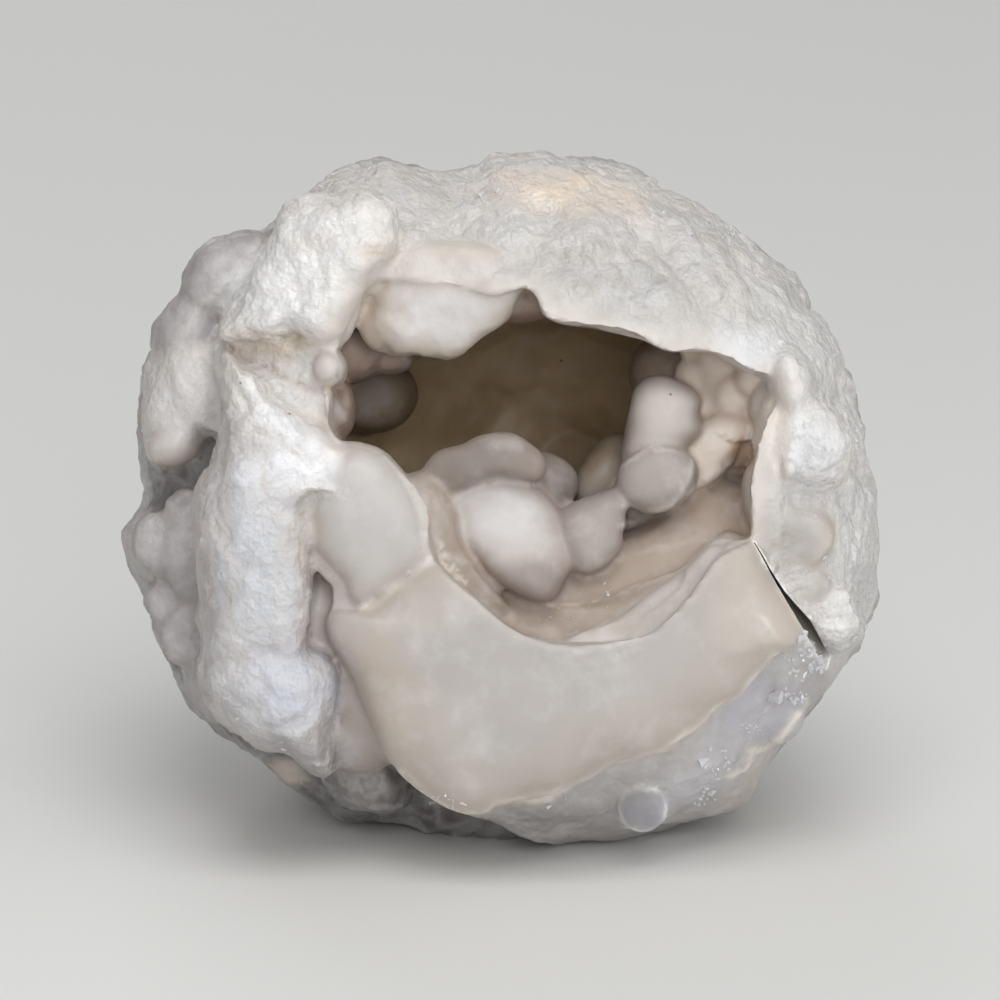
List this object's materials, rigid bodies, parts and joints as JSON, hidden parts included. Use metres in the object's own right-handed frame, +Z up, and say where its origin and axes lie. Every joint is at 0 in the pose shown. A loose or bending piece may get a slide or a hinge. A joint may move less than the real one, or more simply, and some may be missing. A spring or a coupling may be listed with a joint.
{
  "type": "chalcedony nodule",
  "caption": "Hollow chalcedony nodule, broken open at the front, with a rough rind outside and smooth waxy lobes, ledges and a fissure round its mouth.",
  "frame": {"origin": "centre of the box on the surface that the stone rests on", "axes": "+Z up; -Y towards the open mouth, which looks 14 degrees above the horizon; +X to the right, seen from the mouth"},
  "size_m": [0.0752, 0.0662, 0.0667],
  "materials": {
    "chalcedony": "waxy and translucent inside, rough and frosted on the rind"
  },
  "bodies": {
    "root": {"nodule": "chalcedony"}
  },
  "joints": []
}
